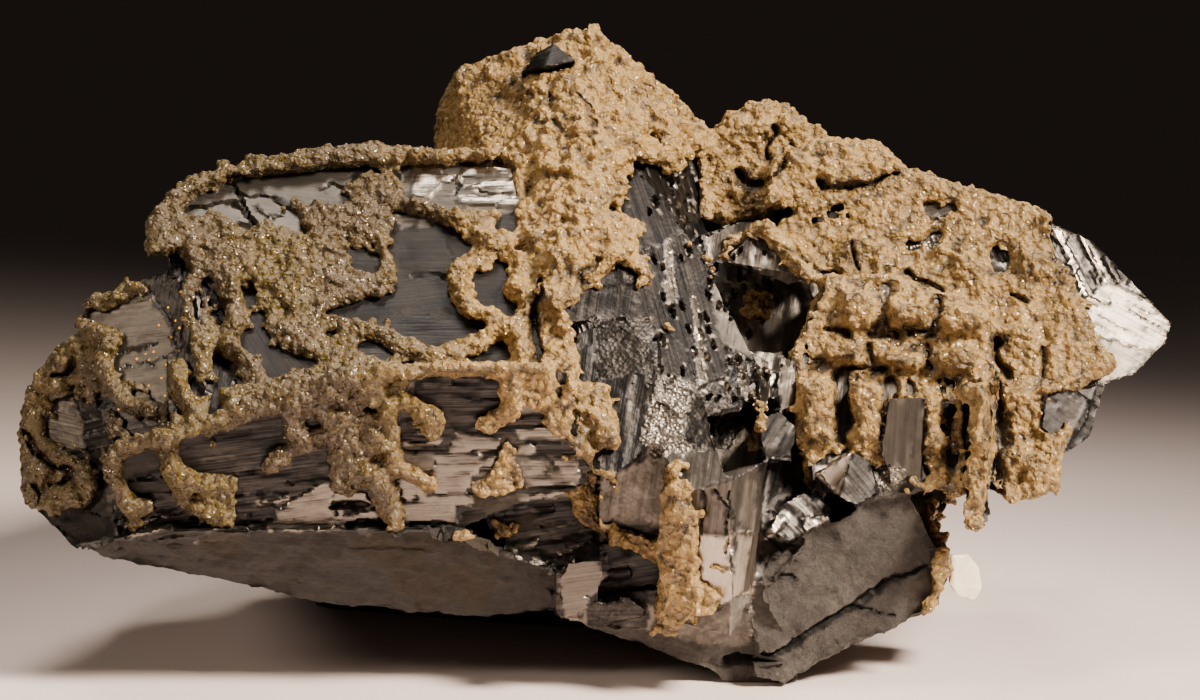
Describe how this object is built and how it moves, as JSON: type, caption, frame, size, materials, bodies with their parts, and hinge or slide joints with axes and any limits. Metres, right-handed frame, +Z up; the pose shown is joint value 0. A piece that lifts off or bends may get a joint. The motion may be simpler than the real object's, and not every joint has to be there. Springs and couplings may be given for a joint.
{
  "type": "arsenopyrite crystal cluster with siderite crust",
  "caption": "Hand-size cluster of intergrown striated arsenopyrite crystals, coated in part by a bumpy tan siderite crust, resting on its broken base.",
  "frame": {"origin": "on the flat resting face, under the middle of the whole specimen", "axes": "+X to the right seen from the show side, the longest way; +Y away from the viewer; +Z up, the shortest way"},
  "size_m": [0.1426, 0.0872, 0.0766],
  "materials": {
    "arsenopyrite": "striated, steel-grey metallic, tarnished dark in places",
    "siderite": "fine sparkling druse over rounded lumps",
    "calcite": "cream, slightly translucent"
  },
  "bodies": {
    "root": {"arsenopyrite_crystals": "arsenopyrite", "siderite_crust": "siderite", "siderite_tuft_1": "siderite", "siderite_tuft_2": "siderite", "siderite_tuft_3": "siderite", "siderite_tuft_4": "siderite", "siderite_tuft_5": "siderite", "siderite_tuft_6": "siderite", "siderite_tuft_7": "siderite", "siderite_tuft_8": "siderite", "siderite_tuft_9": "siderite", "siderite_tuft_10": "siderite", "siderite_tuft_11": "siderite", "siderite_tuft_12": "siderite", "siderite_tuft_13": "siderite", "siderite_tuft_14": "siderite", "siderite_tuft_15": "siderite", "calcite_crystal": "calcite"}
  },
  "joints": []
}
